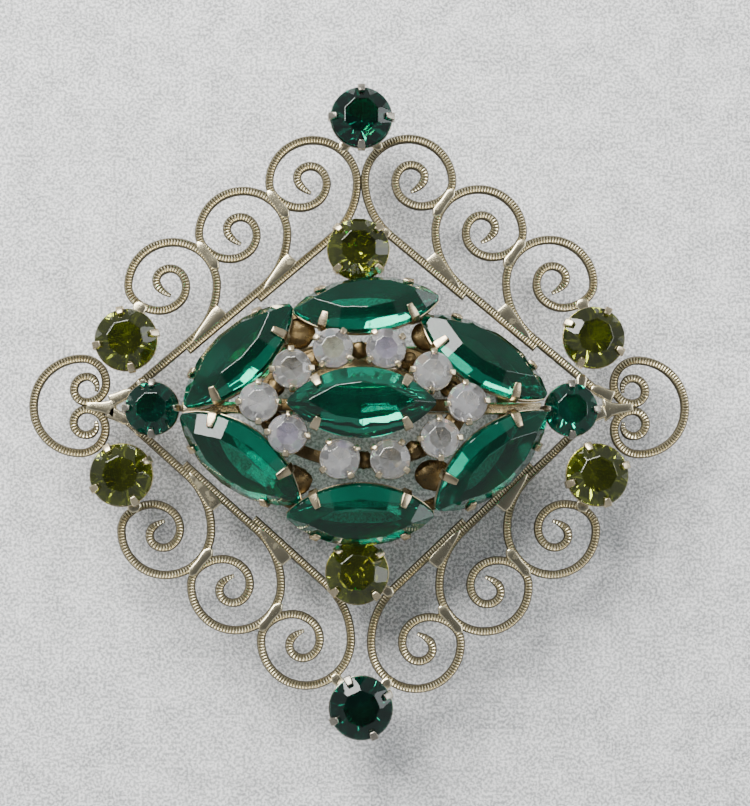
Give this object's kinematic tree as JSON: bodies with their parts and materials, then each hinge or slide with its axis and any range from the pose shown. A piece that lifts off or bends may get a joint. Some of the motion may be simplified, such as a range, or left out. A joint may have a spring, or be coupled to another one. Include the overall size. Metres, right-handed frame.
{
  "type": "brooch",
  "caption": "Openwork scroll brooch with a domed cluster of pointed-oval and round glass stones, fastened to clothing by a hinged pin with a turning safety lock.",
  "frame": {"origin": "middle of the brooch's outline, on the surface that the pin fittings rest on", "axes": "+Z out of the stones, away from the wearer; +X to the viewer's right; +Y to the brooch's top"},
  "size_m": [0.0674, 0.0667, 0.0154],
  "materials": {
    "filigree_gilt": "satin antique pale gilt, milled edge",
    "setting_gilt": "worn gilt, tarnished at the claws",
    "frame_gilt": "dull gilt",
    "pin_back_gilt": "dull gilt",
    "pin_steel": "plated steel wire",
    "emerald_glass": "polished faceted glass",
    "olive_glass": "polished faceted foiled glass",
    "crystal_glass": "polished faceted foiled glass with an iridescent coat"
  },
  "bodies": {
    "frame": {"catch": "pin_back_gilt", "cluster_cradle": "frame_gilt", "cluster_hoop": "frame_gilt", "cross_bar": "frame_gilt", "crystal_settings": "setting_gilt", "crystal_stone_01": "crystal_glass", "crystal_stone_02": "crystal_glass", "crystal_stone_03": "crystal_glass", "crystal_stone_04": "crystal_glass", "crystal_stone_05": "crystal_glass", "crystal_stone_06": "crystal_glass", "crystal_stone_07": "crystal_glass", "crystal_stone_08": "crystal_glass", "crystal_stone_09": "crystal_glass", "crystal_stone_10": "crystal_glass", "emerald_setting_bottom": "setting_gilt", "emerald_setting_left": "setting_gilt", "emerald_setting_right": "setting_gilt", "emerald_setting_top": "setting_gilt", "emerald_stone_bottom": "emerald_glass", "emerald_stone_left": "emerald_glass", "emerald_stone_right": "emerald_glass", "emerald_stone_top": "emerald_glass", "filigree_lower_left": "filigree_gilt", "filigree_lower_right": "filigree_gilt", "filigree_upper_left": "filigree_gilt", "filigree_upper_right": "filigree_gilt", "hinge_rivet": "pin_steel", "navette_setting_bottom": "setting_gilt", "navette_setting_centre": "setting_gilt", "navette_setting_lower_left": "setting_gilt", "navette_setting_lower_right": "setting_gilt", "navette_setting_top": "setting_gilt", "navette_setting_upper_left": "setting_gilt", "navette_setting_upper_right": "setting_gilt", "navette_stone_bottom": "emerald_glass", "navette_stone_centre": "emerald_glass", "navette_stone_lower_left": "emerald_glass", "navette_stone_lower_right": "emerald_glass", "navette_stone_top": "emerald_glass", "navette_stone_upper_left": "emerald_glass", "navette_stone_upper_right": "emerald_glass", "olive_setting_bottom": "setting_gilt", "olive_setting_lower_left": "setting_gilt", "olive_setting_lower_right": "setting_gilt", "olive_setting_top": "setting_gilt", "olive_setting_upper_left": "setting_gilt", "olive_setting_upper_right": "setting_gilt", "olive_stone_bottom": "olive_glass", "olive_stone_lower_left": "olive_glass", "olive_stone_lower_right": "olive_glass", "olive_stone_top": "olive_glass", "olive_stone_upper_left": "olive_glass", "olive_stone_upper_right": "olive_glass", "pin_bar": "pin_back_gilt", "pin_joint": "pin_back_gilt", "scroll_end_left": "filigree_gilt", "scroll_end_right": "filigree_gilt"},
    "pin": {"pin_stem": "pin_steel"},
    "lock": {"safety_lock": "pin_back_gilt"}
  },
  "joints": [
    {"name": "pin_hinge", "type": "hinge", "parent": "frame", "child": "pin", "pos_m": [-0.0124, 0.005, 0.0023], "axis": [0, 1, 0], "range_deg": [0, 75]},
    {"name": "lock_turn", "type": "hinge", "parent": "frame", "child": "lock", "pos_m": [0.0121, 0.005, 0.0023], "axis": [1, 0, 0], "range_deg": [0, 90]}
  ]
}
